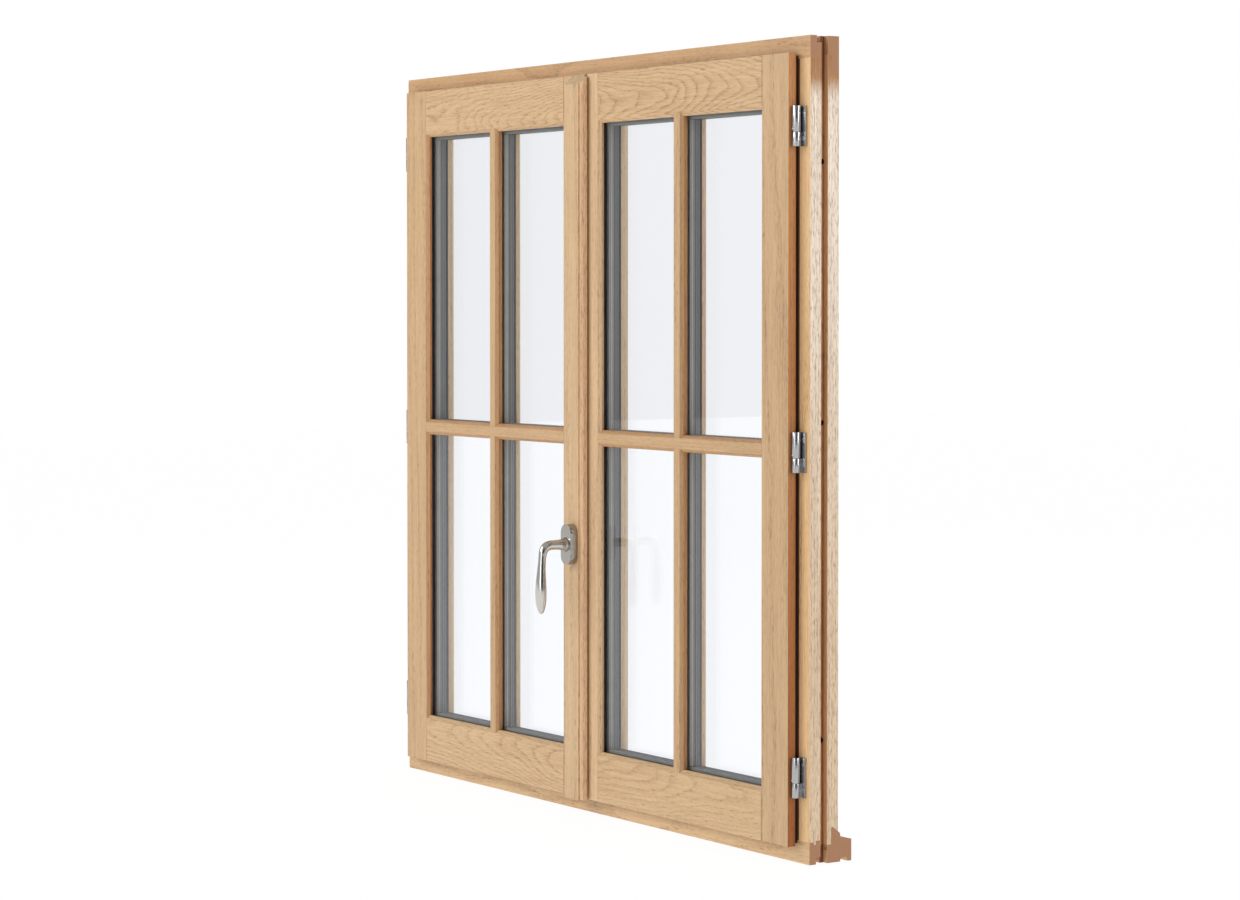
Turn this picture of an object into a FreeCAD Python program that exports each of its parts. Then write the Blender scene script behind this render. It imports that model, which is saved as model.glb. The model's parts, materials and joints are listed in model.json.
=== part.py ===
import FreeCAD, Part
import math
import os
from types import SimpleNamespace

import Sketcher

# A two-leaf oak casement window. Millimetres, +Z up, -Y towards the room, +X to the right as seen
# from the room. The origin is the bottom centre of the fixed frame, at its room face.
doc = FreeCAD.newDocument("CasementWindow")
sheet = doc.addObject("Spreadsheet::Sheet", "Sizes")

DIMENSIONS = {
    # Fixed frame. "edge" sizes are distances inward from the frame's outer edge.
    "frame_width": 1200, "frame_height": 1250, "frame_depth": 54,
    "lip_edge": 34, "lip_back": 8, "seal_edge": 30, "seal_back": 12, "seal_band": 5,
    "lip_seal_edge": 30, "lip_seal_width": 4, "seal_gap": 0.4, "stop_seal_inset": 43, "stop_seal_band": 7,
    "step_edge": 36, "step_back": 20,
    "rebate_edge": 28, "stop_front": 41, "stop_edge": 54,
    "side_groove_front": 20.8, "side_groove_back": 33.3, "side_groove_depth": 9.3,
    "end_groove_front": 12.4, "end_groove_back": 25.9, "end_groove_depth": 10.5,
    "sill_depth": 80, "sill_stop_height": 52, "sill_peak_height": 54.5, "sill_peak_back": 44,
    "sill_slope_height": 44, "sill_slope_back": 58, "sill_nose_back": 59, "sill_nose_height": 38,
    "sill_nose_drop": 33, "drip_front": 58, "drip_back": 72.5, "drip_depth": 6, "drip_lip": 1.5,
    "drip_slope": 4.5,
    "tenon_front": 27, "tenon_back": 39, "tenon_inner": 556, "tenon_outer": 586, "tenon_length": 22,
    "fixing_hole_radius": 4.25, "fixing_back": 28.9, "fixing_low": 186, "fixing_middle": 667,
    "fixing_high": 1061,
    # Leaves. x sizes are measured from the window's centre line.
    "leaf_face": 20, "leaf_lip_back": 6, "leaf_back": 38, "leaf_lip_side": 572, "leaf_lip_low": 25.5,
    "leaf_body_side": 560, "leaf_body_low": 40, "sight_side": 499, "sight_meeting": 57, "sight_low": 107.5,
    "bevel_width": 6, "bevel_depth": 5, "gasket_front": 11, "glass_front": 8, "glass_back": 20,
    "glazing_rebate": 13, "glass_bite": 12, "pane": 4, "bead_front": 23, "bead_bevel": 6,
    "passive_edge": 20, "active_edge": 15, "leaf_tenon_front": 3, "leaf_tenon_back": 17,
    "leaf_tenon_length": 30, "meeting_tenon_length": 8, "leaf_tenon_low": 50, "leaf_tenon_high": 88,
    # Glazing bars.
    "muntin_width": 27, "muntin_face": 16, "muntin_side": 278, "muntin_bevel_depth": 5,
    "outer_muntin_back": 32, "spacer_inset": 3, "spacer_sight": 5, "spacer_bar": 28,
    # Astragals and weather bars.
    "astragal_half": 26, "astragal_face": 35.4, "astragal_wing": 23.4, "astragal_bevel": 16,
    "astragal_quirk": 2.5, "astragal_bead": 7, "ease_side": 5, "ease_face": 4, "ease_middle_in": 1.5,
    "ease_middle_back": 1, "quirk_bead_drop": 1, "quirk_bead_ease": 3,
    "cover_inner": 0, "cover_outer": 40, "cover_back": 50, "cover_gap": 0.5, "cover_low": 57,
    "cover_bevel": 3,
    "weather_low": 62, "weather_high": 92, "weather_back": 60, "weather_end": 540,
    "weather_start_passive": 41, "weather_start_active": 14, "weather_groove_start": 10,
    "weather_groove_end": 16, "weather_groove_depth": 4, "weather_nose": 8, "weather_shelf": 8,
    "weather_shelf_drop": 2,
    # Hinges: barrel axis, barrel and frame plate.
    "hinge_axis_side": 579, "hinge_axis_front": 10, "hinge_low": 131, "hinge_spacing": 491.5,
    "barrel_radius": 6.5, "barrel_half": 30.5, "knuckle_split": 9, "knuckle_gap": 0.8, "pin_radius": 3.5,
    "pin_clearance": 0.05, "pin_top_gap": 3, "bore_roof": 2.5, "stud_gap": 1.5, "plate_inner": 572,
    "plate_outer": 592, "plate_thick": 3, "web_inner": 575,
    "web_outer": 583, "stud_radius": 3.4, "stud_end": 545, "stud_low": 2, "stud_high": 21,
    "screw_side": 587.5, "screw_spread": 19, "screw_head_radius": 3.4, "screw_shank_radius": 1.8,
    "screw_head": 2, "screw_depth": 18, "grub_radius": 1.7, "grub_rise": 4,
    "grub_proud": 0.8, "grub_gap": 0.6,
    # Handle.
    "handle_height": 448, "rosette_width": 30, "rosette_height": 67, "rosette_thick": 14,
    "neck_radius": 11.4, "neck_clearance": 0.1, "neck_start": 39, "collar_end": 56, "neck_bar_radius": 8.2,
    "grip_front": 97.5, "grip_length": 113, "elbow_radius": 8.6, "elbow_back": 1,
    "spindle_square": 7, "spindle_front": 70, "spindle_bore": 6, "rosette_screw_rise": 23,
    "rosette_screw_radius": 2.2,
    "rosette_screw_head": 42, "rosette_screw_tip": 12,
    # Lock: pinion, racks, rods, case and faceplate.
    "gear_root": 6.9, "gear_pitch": 8, "gear_tip": 9.1, "gear_module": 1.6, "gear_front": 22,
    "gear_back": 30, "rack_root": 9.7, "rack_tip": 7.05, "rack_half_tip": 0.62, "rod_back": 12.6,
    "rod_front": 9.4, "rod_tip": 38,
    "rod_clearance": 0.4,
    "case_half": 15, "case_wall": 2, "case_front": 19.5, "case_back": 32.5, "case_low": 391,
    "case_high": 478, "channel_inner": 8, "channel_front": 21, "channel_back": 31,
    "plate_side": 13, "faceplate_front": 18, "faceplate_back": 34, "faceplate_low": 60,
    "link_low": 396, "link_high": 404,
    # Flush bolts of the passive leaf, and the keepers in the frame.
    "bolt_inner": 23, "bolt_outer": 29, "bolt_front": 22.5, "bolt_back": 29.5, "bolt_length": 110,
    "bolt_plate_side": 22, "bolt_plate_low": 45, "bolt_plate_high": 175, "bolt_channel_back": 30,
    "thumb_proud": 1, "thumb_root": 1, "thumb_low": 112, "thumb_high": 120, "thumb_front": 24,
    "thumb_back": 28, "thumb_play": 1, "bolt_travel": 12,
    "bolt_clearance": 0.5, "bolt_channel_spare": 6, "keeper_thick": 3, "keeper_front": 20.5,
    "keeper_start": 0, "keeper_end": 40, "keeper_back": 37, "keeper_pocket": 8,
}


class Size:
    """A length together with the sheet expression it comes from, so what uses it stays bound."""

    def __init__(self, value, text):
        self.value = value
        self.text = text

    def combine(self, other, sign, turned=False):
        other = other if isinstance(other, Size) else Size(other, repr(other))
        first, second = (other, self) if turned else (self, other)
        text = f"({first.text} {sign} {second.text})"
        if sign == "+":
            return Size(first.value + second.value, text)
        if sign == "-":
            return Size(first.value - second.value, text)
        if sign == "*":
            return Size(first.value * second.value, text)
        return Size(first.value / second.value, text)

    def __add__(self, other):
        return self.combine(other, "+")

    def __radd__(self, other):
        return self.combine(other, "+", turned=True)

    def __sub__(self, other):
        return self.combine(other, "-")

    def __rsub__(self, other):
        return self.combine(other, "-", turned=True)

    def __mul__(self, other):
        return self.combine(other, "*")

    def __rmul__(self, other):
        return self.combine(other, "*", turned=True)

    def __truediv__(self, other):
        return self.combine(other, "/")

    def __neg__(self):
        return Size(-self.value, f"(-1 * {self.text})")


for row, (alias, number) in enumerate(DIMENSIONS.items(), start=1):
    sheet.set(f"A{row}", alias)
    sheet.set(f"B{row}", str(number))
    sheet.setAlias(f"B{row}", alias)
doc.recompute()
d = SimpleNamespace(**{alias: Size(number, f"Sizes.{alias}") for alias, number in DIMENSIONS.items()})
NOUGHT = Size(0, "0")
nodes = {}


def size(value):
    return value if isinstance(value, Size) else Size(value, repr(value))


def bind(thing, prop, value):
    """Sets a property to a size, by expression."""
    thing.setExpression(prop, size(value).text)


def place(thing, x=0, y=0, z=0):
    for axis, value in zip("xyz", (x, y, z)):
        bind(thing, f"Placement.Base.{axis}", value)


def node(name, thing):
    """Names a finished piece. Its label is the name of its file."""
    thing.Label = name
    nodes[name] = thing
    return thing


# ---------------------------------------------------------------- building blocks
def bar(name, plane, outline, start, end):
    """A straight bar of constant section. XY outlines run up Z, YZ along X, and XZ along Y."""
    body = doc.addObject("PartDesign::Body", name)
    sketch = body.newObject("Sketcher::SketchObject", f"{name}_section")
    origin_plane = [f for f in body.Origin.OriginFeatures if f.Role == f"{plane}_Plane"][0]
    sketch.AttachmentSupport = [(origin_plane, "")]
    sketch.MapMode = "FlatFace"
    corners = [(size(a), size(b)) for a, b in outline]
    count = len(corners)
    for i, (a, b) in enumerate(corners):
        c, e = corners[(i + 1) % count]
        ends = FreeCAD.Vector(a.value, b.value, 0), FreeCAD.Vector(c.value, e.value, 0)
        sketch.addGeometry(Part.LineSegment(*ends))
    for i in range(count):
        sketch.addConstraint(Sketcher.Constraint("Coincident", i, 2, (i + 1) % count, 1))
    for i, pair in enumerate(corners):
        for kind, distance in zip(("DistanceX", "DistanceY"), pair):
            held = sketch.addConstraint(Sketcher.Constraint(kind, -1, 1, i, 1, distance.value))
            sketch.setExpression(f"Constraints[{held}]", distance.text)
    pad = body.newObject("PartDesign::Pad", f"{name}_length")
    pad.Profile = sketch
    bind(pad, "Length", size(end) - start)
    if plane == "XY":
        place(body, z=start)
    elif plane == "YZ":
        place(body, x=start)
    else:
        place(body, y=end)
    return body


def block(name, x, y, z):
    """A box between two values on each axis."""
    box = doc.addObject("Part::Box", name)
    for prop, (low, high) in zip(("Length", "Width", "Height"), (x, y, z)):
        bind(box, prop, size(high) - low)
    place(box, x[0], y[0], z[0])
    return box


TURNS = {
    "X": FreeCAD.Rotation(FreeCAD.Vector(0, 1, 0), 90),
    "Y": FreeCAD.Rotation(FreeCAD.Vector(1, 0, 0), -90),
    "Z": FreeCAD.Rotation(),
}


def cylinder(name, along, radius, start, end, x=0, y=0, z=0):
    """A cylinder along one axis, between two values on that axis."""
    round_bar = doc.addObject("Part::Cylinder", name)
    bind(round_bar, "Radius", radius)
    bind(round_bar, "Height", size(end) - start)
    round_bar.Placement = FreeCAD.Placement(FreeCAD.Vector(), TURNS[along])
    centre = {"X": x, "Y": y, "Z": z}
    centre[along] = start
    place(round_bar, centre["X"], centre["Y"], centre["Z"])
    return round_bar


def fuse(name, *pieces):
    joined = doc.addObject("Part::MultiFuse", name)
    joined.Shapes = list(pieces)
    joined.Refine = True
    return joined


def cut(name, base, *tools):
    tool = tools[0] if len(tools) == 1 else group(f"{name}_tools", *tools)
    remains = doc.addObject("Part::Cut", name)
    remains.Base = base
    remains.Tool = tool
    return remains


def group(name, *pieces):
    """Separate solids that share one name."""
    together = doc.addObject("Part::Compound", name)
    together.Links = list(pieces)
    return together


def mirrored(name, source, normal, height=NOUGHT):
    """The mirror image across the centre plane, or across a level plane at a height."""
    image = doc.addObject("Part::Mirroring", name)
    image.Source = source
    image.Normal = normal
    bind(image, "Base.z", height)
    return image


ACROSS = FreeCAD.Vector(1, 0, 0)
UPWARDS = FreeCAD.Vector(0, 0, 1)
# How far a cutting tool runs past what it cuts.
OVERRUN = 1
half_width = d.frame_width / 2
half_height = d.frame_height / 2
leaf_lip_high = d.frame_height - d.leaf_lip_low
leaf_body_high = d.frame_height - d.leaf_body_low
sight_high = d.frame_height - d.sight_low


def both_ends(name, low_piece):
    """The piece at the window's foot and its twin at the top, as a group."""
    return group(name, low_piece, mirrored(f"{name}_top", low_piece, UPWARDS, half_height))


def ring(name, x, y, z, band):
    """A flat rectangular frame of one width all round."""
    outer = block(f"{name}_outer", x, y, z)
    hole_x = (size(x[0]) + band, size(x[1]) - band)
    hole_z = (size(z[0]) + band, size(z[1]) - band)
    hole = block(f"{name}_hole", hole_x, y, hole_z)
    return cut(name, outer, hole)


# ---------------------------------------------------------------- fixed frame
def rebate_outline(edge, inward):
    """The moulded inner side that head, jambs and sill share: lip, seal groove, step and rebate."""
    depths = (0, d.lip_back, d.lip_back, d.seal_back, d.seal_back, d.step_back, d.step_back, d.stop_front)
    insets = (d.lip_edge, d.lip_edge, d.seal_edge, d.seal_edge, d.step_edge, d.step_edge, d.rebate_edge,
              d.rebate_edge)
    return [(edge + inset * inward, depth) for inset, depth in zip(insets, depths)]


def jamb_blank():
    inside = rebate_outline(half_width, -1)
    stop = [(half_width - d.stop_edge, d.stop_front), (half_width - d.stop_edge, d.frame_depth)]
    outside = [(half_width, d.frame_depth), (half_width, 0)]
    return bar("jamb_bar", "XY", inside + stop + outside, d.rebate_edge, d.frame_height - d.rebate_edge)


def head_blank():
    inside = [(y, z) for z, y in rebate_outline(d.frame_height, -1)]
    stop_z = d.frame_height - d.stop_edge
    groove_z = d.frame_height - d.end_groove_depth
    outline = inside + [
        (d.stop_front, stop_z), (d.frame_depth, stop_z), (d.frame_depth, d.frame_height),
        (d.end_groove_back, d.frame_height), (d.end_groove_back, groove_z),
        (d.end_groove_front, groove_z), (d.end_groove_front, d.frame_height), (0, d.frame_height)]
    return bar("head_bar", "YZ", outline, -half_width, half_width)


def sill_blank():
    inside = [(y, z) for z, y in rebate_outline(NOUGHT, 1)]
    outline = inside + [
        (d.stop_front, d.sill_stop_height), (d.sill_peak_back, d.sill_peak_height),
        (d.sill_slope_back, d.sill_slope_height), (d.sill_nose_back, d.sill_nose_height),
        (d.sill_depth, d.sill_nose_drop), (d.sill_depth, 0), (d.drip_back, 0),
        (d.drip_back - d.drip_lip, d.drip_depth - d.drip_lip), (d.drip_back - d.drip_slope, d.drip_depth),
        (d.drip_front + d.drip_slope, d.drip_depth), (d.drip_front + d.drip_lip, d.drip_depth - d.drip_lip),
        (d.drip_front, 0), (d.end_groove_back, 0), (d.end_groove_back, d.end_groove_depth),
        (d.end_groove_front, d.end_groove_depth), (d.end_groove_front, 0), (0, 0)]
    return bar("sill_bar", "YZ", outline, -half_width, half_width)


def side_groove(name):
    return block(name, (half_width - d.side_groove_depth, half_width + OVERRUN),
                 (d.side_groove_front, d.side_groove_back), (-OVERRUN, d.frame_height + OVERRUN))


hinge_heights = [d.hinge_low + d.hinge_spacing * i for i in range(3)]
screw_heights = [z + d.screw_spread * way for z in hinge_heights for way in (-1, 1)]
groove_right = side_groove("side_groove_right")
groove_left = mirrored("side_groove_left", groove_right, ACROSS)
tenon_low = block("jamb_tenon_low", (d.tenon_inner, d.tenon_outer), (d.tenon_front, d.tenon_back),
                  (d.rebate_edge - d.tenon_length, d.rebate_edge))
tenon_high = mirrored("jamb_tenon_high", tenon_low, UPWARDS, half_height)
tenons = [tenon_low, tenon_high]
tenons += [mirrored(f"{t.Name}_left", t, ACROSS) for t in tenons]

# Pockets in sill and head behind the keepers, for the lock rods and the flush bolts.
rod_gap = (d.rod_front - d.rod_clearance, d.rod_back + d.rod_clearance)
bolt_gap = (d.bolt_inner - d.bolt_clearance, d.bolt_outer + d.bolt_clearance)
pocket_y = (d.channel_front, d.channel_back)
keeper_pockets = []
for way, span in (("rod", rod_gap), ("bolt", bolt_gap)):
    low = block(f"{way}_pocket_low", span, pocket_y,
                (d.rebate_edge - d.keeper_pocket, d.rebate_edge + d.keeper_thick))
    keeper_pockets += [low, mirrored(f"{way}_pocket_high", low, UPWARDS, half_height)]
sill = cut("sill_piece", sill_blank(), *tenons, *keeper_pockets, groove_right, groove_left)
head = cut("head_piece", head_blank(), *tenons, *keeper_pockets, groove_right, groove_left)
node("sill", sill)
node("head", head)

fixing_holes = [
    cylinder(f"fixing_hole_{i}", "X", d.fixing_hole_radius, half_width - d.stop_edge - OVERRUN, half_width,
             y=d.fixing_back, z=z)
    for i, z in enumerate((d.fixing_low, d.fixing_middle, d.fixing_high))]


def plate_screw(name, z):
    """A countersunk screw through a hinge plate into the jamb."""
    top = -d.plate_thick + d.screw_head
    head_part = cylinder(f"{name}_head", "Y", d.screw_head_radius, -d.plate_thick, top, x=d.screw_side, z=z)
    shank = cylinder(f"{name}_shank", "Y", d.screw_shank_radius, top, d.screw_depth, x=d.screw_side, z=z)
    return fuse(name, head_part, shank)


plate_screws = [plate_screw(f"plate_screw_{i}", z) for i, z in enumerate(screw_heights)]
jamb_solid = fuse("jamb_with_tenons", jamb_blank(), tenon_low, tenon_high)
right_jamb = cut("right_jamb_piece", jamb_solid, sill, head, groove_right, *fixing_holes, *plate_screws)
node("right_jamb", right_jamb)
node("left_jamb", mirrored("left_jamb_piece", right_jamb, ACROSS))

seal_x = half_width - d.seal_edge
node("inner_frame_seal", ring("inner_seal_ring", (-seal_x, seal_x), (d.lip_back, d.seal_back),
                              (d.seal_edge, d.frame_height - d.seal_edge), d.seal_band))
lip_seal_x = half_width - d.lip_seal_edge
node("lip_seal", ring("lip_seal_ring", (-lip_seal_x, lip_seal_x), (d.seal_gap - d.leaf_lip_back, 0),
                      (d.lip_seal_edge, d.frame_height - d.lip_seal_edge), d.lip_seal_width))
stop_seal_x = half_width - d.stop_seal_inset
node("stop_seal", ring("stop_seal_ring", (-stop_seal_x, stop_seal_x),
                       (d.leaf_back + d.seal_gap, d.stop_front),
                       (d.stop_seal_inset, d.frame_height - d.stop_seal_inset), d.stop_seal_band))

keeper_low = cut("keeper_low", block("keeper_plate", (d.keeper_start, d.keeper_end),
                                     (d.keeper_front, d.keeper_back),
                                     (d.rebate_edge, d.rebate_edge + d.keeper_thick)), *keeper_pockets)
node("lock_keepers", both_ends("keeper_pair", keeper_low))


# ---------------------------------------------------------------- hinges
def frame_hinge(i, z):
    """Plate on the jamb with the lower knuckle, bored for the pin."""
    low = z - d.barrel_half
    split = z - d.knuckle_split
    plate = block(f"hinge_plate_{i}", (d.plate_inner, d.plate_outer), (-d.plate_thick, 0),
                  (low, z + d.barrel_half))
    knuckle = cylinder(f"frame_knuckle_{i}", "Z", d.barrel_radius, low, split,
                       x=d.hinge_axis_side, y=-d.hinge_axis_front)
    web = block(f"hinge_web_{i}", (d.web_inner, d.web_outer), (-d.hinge_axis_front, -d.plate_thick),
                (low, split))
    bore = cylinder(f"frame_bore_{i}", "Z", d.pin_radius, low, split,
                    x=d.hinge_axis_side, y=-d.hinge_axis_front)
    solid = fuse(f"frame_hinge_solid_{i}", plate, knuckle, web)
    return cut(f"frame_hinge_{i}", solid, bore, *plate_screws[2 * i:2 * i + 2])


def hinge_pin(i, z):
    return cylinder(f"hinge_pin_{i}", "Z", d.pin_radius, z - d.barrel_half,
                    z + d.barrel_half - d.pin_top_gap, x=d.hinge_axis_side, y=-d.hinge_axis_front)


def hinge_studs(i, z):
    """Two threaded studs that hold the leaf's knuckle in the edge of the leaf."""
    return [cylinder(f"hinge_stud_{i}_{n}", "X", d.stud_radius, d.stud_end,
                     d.hinge_axis_side - d.pin_radius - d.stud_gap, y=-d.hinge_axis_front, z=z + rise)
            for n, rise in enumerate((d.stud_low, d.stud_high))]


def grub_screw(i, z):
    """The small screw in the room side of the knuckle that sets the leaf's height."""
    face = -(d.hinge_axis_front + d.barrel_radius)
    return cylinder(f"grub_screw_{i}", "Y", d.grub_radius, face - d.grub_proud,
                    -(d.hinge_axis_front + d.pin_radius + d.grub_gap), x=d.hinge_axis_side,
                    z=z - d.grub_rise)


def leaf_hinge(i, z):
    """Upper knuckle with its studs, blind-bored to run on the pin."""
    low = z - d.knuckle_split + d.knuckle_gap
    high = z + d.barrel_half
    knuckle = cylinder(f"leaf_knuckle_{i}", "Z", d.barrel_radius, low, high,
                       x=d.hinge_axis_side, y=-d.hinge_axis_front)
    bore = cylinder(f"leaf_bore_{i}", "Z", d.pin_radius + d.pin_clearance, low, high - d.bore_roof,
                    x=d.hinge_axis_side, y=-d.hinge_axis_front)
    solid = fuse(f"leaf_hinge_solid_{i}", knuckle, *studs[i])
    return cut(f"leaf_hinge_{i}", solid, bore, grubs[i])


studs = [hinge_studs(i, z) for i, z in enumerate(hinge_heights)]
grubs = [grub_screw(i, z) for i, z in enumerate(hinge_heights)]
plates = group("right_plates", *[frame_hinge(i, z) for i, z in enumerate(hinge_heights)])
pins = group("right_pins", *[hinge_pin(i, z) for i, z in enumerate(hinge_heights)])
screws = group("right_screws", *plate_screws)
node("right_hinge_plates", plates)
node("left_hinge_plates", mirrored("left_plates", plates, ACROSS))
node("hinge_pins", group("all_pins", pins, mirrored("left_pins", pins, ACROSS)))
node("hinge_plate_screws", group("all_screws", screws, mirrored("left_screws", screws, ACROSS)))


# ---------------------------------------------------------------- leaves, in their right-hand form
def moulded_edge(sight, away):
    """The inner side of a stile from its back to its face: glazing rebate, then bevelled moulding."""
    floor = sight + d.glazing_rebate * away
    return [(floor, d.leaf_back), (floor, -d.gasket_front), (sight, -d.gasket_front),
            (sight, d.bevel_depth - d.leaf_face), (sight + d.bevel_width * away, -d.leaf_face)]


def end_notches(name, x):
    """The rebate round the foot and top of a stile, where only its lip runs on."""
    low = block(f"{name}_notch", x, (-d.leaf_lip_back, d.leaf_back + OVERRUN),
                (d.leaf_lip_low - OVERRUN, d.leaf_body_low))
    return [low, mirrored(f"{name}_notch_top", low, UPWARDS, half_height)]


def rail_tenon(name, start, end):
    low = block(name, (start, end), (d.leaf_tenon_front, d.leaf_tenon_back),
                (d.leaf_tenon_low, d.leaf_tenon_high))
    return [low, mirrored(f"{name}_top", low, UPWARDS, half_height)]


hinge_floor = d.sight_side + d.glazing_rebate
meeting_floor = d.sight_meeting - d.glazing_rebate
hinge_tenons = rail_tenon("hinge_tenon", hinge_floor, hinge_floor + d.leaf_tenon_length)
meeting_tenons = rail_tenon("meeting_tenon", meeting_floor - d.meeting_tenon_length, meeting_floor)

hinge_stile_bar = bar(
    "hinge_stile_bar", "XY",
    [(d.leaf_lip_side, -d.leaf_face), (d.leaf_lip_side, -d.leaf_lip_back),
     (d.leaf_body_side, -d.leaf_lip_back), (d.leaf_body_side, d.leaf_back)] + moulded_edge(d.sight_side, 1),
    d.leaf_lip_low, leaf_lip_high)
hinge_stile = cut("hinge_stile_piece", hinge_stile_bar, *hinge_tenons,
                  *end_notches("hinge", (d.sight_side - OVERRUN, d.leaf_lip_side + OVERRUN)),
                  *[stud for pair in studs for stud in pair])


def meeting_stile_bar(name, edge):
    outline = moulded_edge(d.sight_meeting, -1) + [(edge, -d.leaf_face), (edge, d.leaf_back)]
    return bar(name, "XY", outline, d.leaf_lip_low, leaf_lip_high)


meeting_notches = end_notches("meeting", (-d.active_edge - OVERRUN, d.sight_meeting + OVERRUN))

# The flush bolts' channel and plate seat in the passive leaf's edge, at the foot and at the top.
bolt_cuts = []
channel_end = d.leaf_body_low + d.bolt_length + d.bolt_travel + d.bolt_channel_spare
for label, x, y, z in (
        ("bolt_channel", (d.bolt_plate_side, d.bolt_channel_back),
         (d.bolt_front - d.bolt_clearance, d.bolt_back + d.bolt_clearance),
         (d.leaf_body_low - OVERRUN, channel_end)),
        ("bolt_seat", (d.passive_edge - OVERRUN, d.bolt_plate_side), (d.faceplate_front, d.faceplate_back),
         (d.bolt_plate_low, d.bolt_plate_high))):
    low_cut = block(label, x, y, z)
    bolt_cuts += [low_cut, mirrored(f"{label}_top", low_cut, UPWARDS, half_height)]
passive_meeting = cut("passive_meeting_piece", meeting_stile_bar("passive_meeting_bar", d.passive_edge),
                      *meeting_tenons, *meeting_notches, *bolt_cuts)

rail_outline = [
    (-d.leaf_face, d.leaf_lip_low), (-d.leaf_lip_back, d.leaf_lip_low), (-d.leaf_lip_back, d.leaf_body_low),
    (d.leaf_back, d.leaf_body_low)] + [(y, z) for z, y in moulded_edge(d.sight_low, -1)]
rail_bar = bar("bottom_rail_bar", "YZ", rail_outline, meeting_floor, hinge_floor)
rail_solid = fuse("bottom_rail_solid", rail_bar, hinge_tenons[0], meeting_tenons[0])
bottom_rail = cut("bottom_rail_piece", rail_solid, hinge_stile, passive_meeting)
top_rail = mirrored("top_rail_piece", bottom_rail, UPWARDS, half_height)

# Double glazing: two panes on a spacer whose bars lie behind the muntins.
glass_x = (d.sight_meeting - d.glass_bite, d.sight_side + d.glass_bite)
glass_z = (d.sight_low - d.glass_bite, sight_high + d.glass_bite)
inner_glass = block("inner_pane", glass_x, (-d.glass_front, -d.glass_front + d.pane), glass_z)
outer_glass = block("outer_pane", glass_x, (d.glass_back - d.pane, d.glass_back), glass_z)
spacer_y = (-d.glass_front + d.pane, d.glass_back - d.pane)
spacer_blank = block("spacer_blank", (glass_x[0] + d.spacer_inset, glass_x[1] - d.spacer_inset), spacer_y,
                     (glass_z[0] + d.spacer_inset, glass_z[1] - d.spacer_inset))
left_clear = (d.sight_meeting + d.spacer_sight, d.muntin_side - d.spacer_bar / 2)
right_clear = (d.muntin_side + d.spacer_bar / 2, d.sight_side - d.spacer_sight)
low_clear = (d.sight_low + d.spacer_sight, half_height - d.spacer_bar / 2)
high_clear = (half_height + d.spacer_bar / 2, sight_high - d.spacer_sight)
clear_lights = [block(f"clear_light_{i}", x, spacer_y, z)
                for i, (x, z) in enumerate((x, z) for x in (left_clear, right_clear)
                                           for z in (low_clear, high_clear))]
spacer = cut("spacer_piece", spacer_blank, *clear_lights)

rebate_x = (meeting_floor, hinge_floor)
rebate_z = (d.sight_low - d.glazing_rebate, sight_high + d.glazing_rebate)
inner_gasket = ring("inner_gasket_ring", rebate_x, (-d.gasket_front, -d.glass_front), rebate_z,
                    d.glazing_rebate)
outer_gasket = ring("outer_gasket_ring", rebate_x, (d.glass_back, d.bead_front), rebate_z,
                    d.glazing_rebate)


def bead_outline(floor, inward):
    """A glazing bead, bevelled on the side towards the glass."""
    sight = floor + d.glazing_rebate * inward
    return [(floor, d.bead_front), (sight, d.bead_front), (sight, d.leaf_back - d.bead_bevel),
            (sight - d.bead_bevel * inward, d.leaf_back), (floor, d.leaf_back)]


side_beads = [bar("hinge_bead", "XY", bead_outline(hinge_floor, -1), *rebate_z),
              bar("meeting_bead", "XY", bead_outline(meeting_floor, 1), *rebate_z)]
low_bead_bar = bar("low_bead_bar", "YZ", [(y, z) for z, y in bead_outline(rebate_z[0], 1)], *rebate_x)
low_bead = cut("low_bead", low_bead_bar, *side_beads)
glazing_beads = group("beads", *side_beads, low_bead, mirrored("high_bead", low_bead, UPWARDS, half_height))


def muntin_outline(centre, face, back):
    """A glazing bar's section across its length: flat face between two bevels."""
    depth = 1 if size(face).value > size(back).value else -1
    shoulder = size(face) - d.muntin_bevel_depth * depth
    half_face, half_back = d.muntin_face / 2, d.muntin_width / 2
    return [(centre - half_back, back), (centre + half_back, back), (centre + half_back, shoulder),
            (centre + half_face, face), (centre - half_face, face), (centre - half_back, shoulder)]


def muntins(side, face, back, margin, *stops):
    """One level bar and two uprights, scribed to each other and to what they meet."""
    level_outline = [(y, z) for z, y in muntin_outline(half_height, face, back)]
    level_bar = bar(f"{side}_level_bar", "YZ", level_outline, d.sight_meeting - margin,
                    d.sight_side + margin)
    level = cut(f"{side}_level", level_bar, *stops)
    upright_bar = bar(f"{side}_upright_bar", "XY", muntin_outline(d.muntin_side, face, back),
                      d.sight_low - margin, half_height - d.muntin_face / 2)
    upright = cut(f"{side}_upright", upright_bar, level, *stops)
    return level, both_ends(f"{side}_uprights", upright)


inner_level, inner_uprights = muntins("inner", -d.leaf_face, -d.glass_front, d.bevel_width,
                                      hinge_stile, passive_meeting, bottom_rail, inner_gasket)
outer_level, outer_uprights = muntins("outer", d.outer_muntin_back, d.glass_back, d.bead_bevel,
                                      outer_gasket, glazing_beads)


def weather_bar(name, start):
    """The drip bar across the outside of a bottom rail."""
    y, low = d.leaf_back, d.weather_low
    groove_start, groove_end = y + d.weather_groove_start, y + d.weather_groove_end
    groove_top = low + d.weather_groove_depth
    outline = [(y, low), (groove_start, low), (groove_start, groove_top), (groove_end, groove_top),
               (groove_end, low), (d.weather_back, low), (d.weather_back, low + d.weather_nose),
               (y + d.weather_shelf, d.weather_high - d.weather_shelf_drop), (y, d.weather_high)]
    return bar(name, "YZ", outline, start, d.weather_end)


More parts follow.
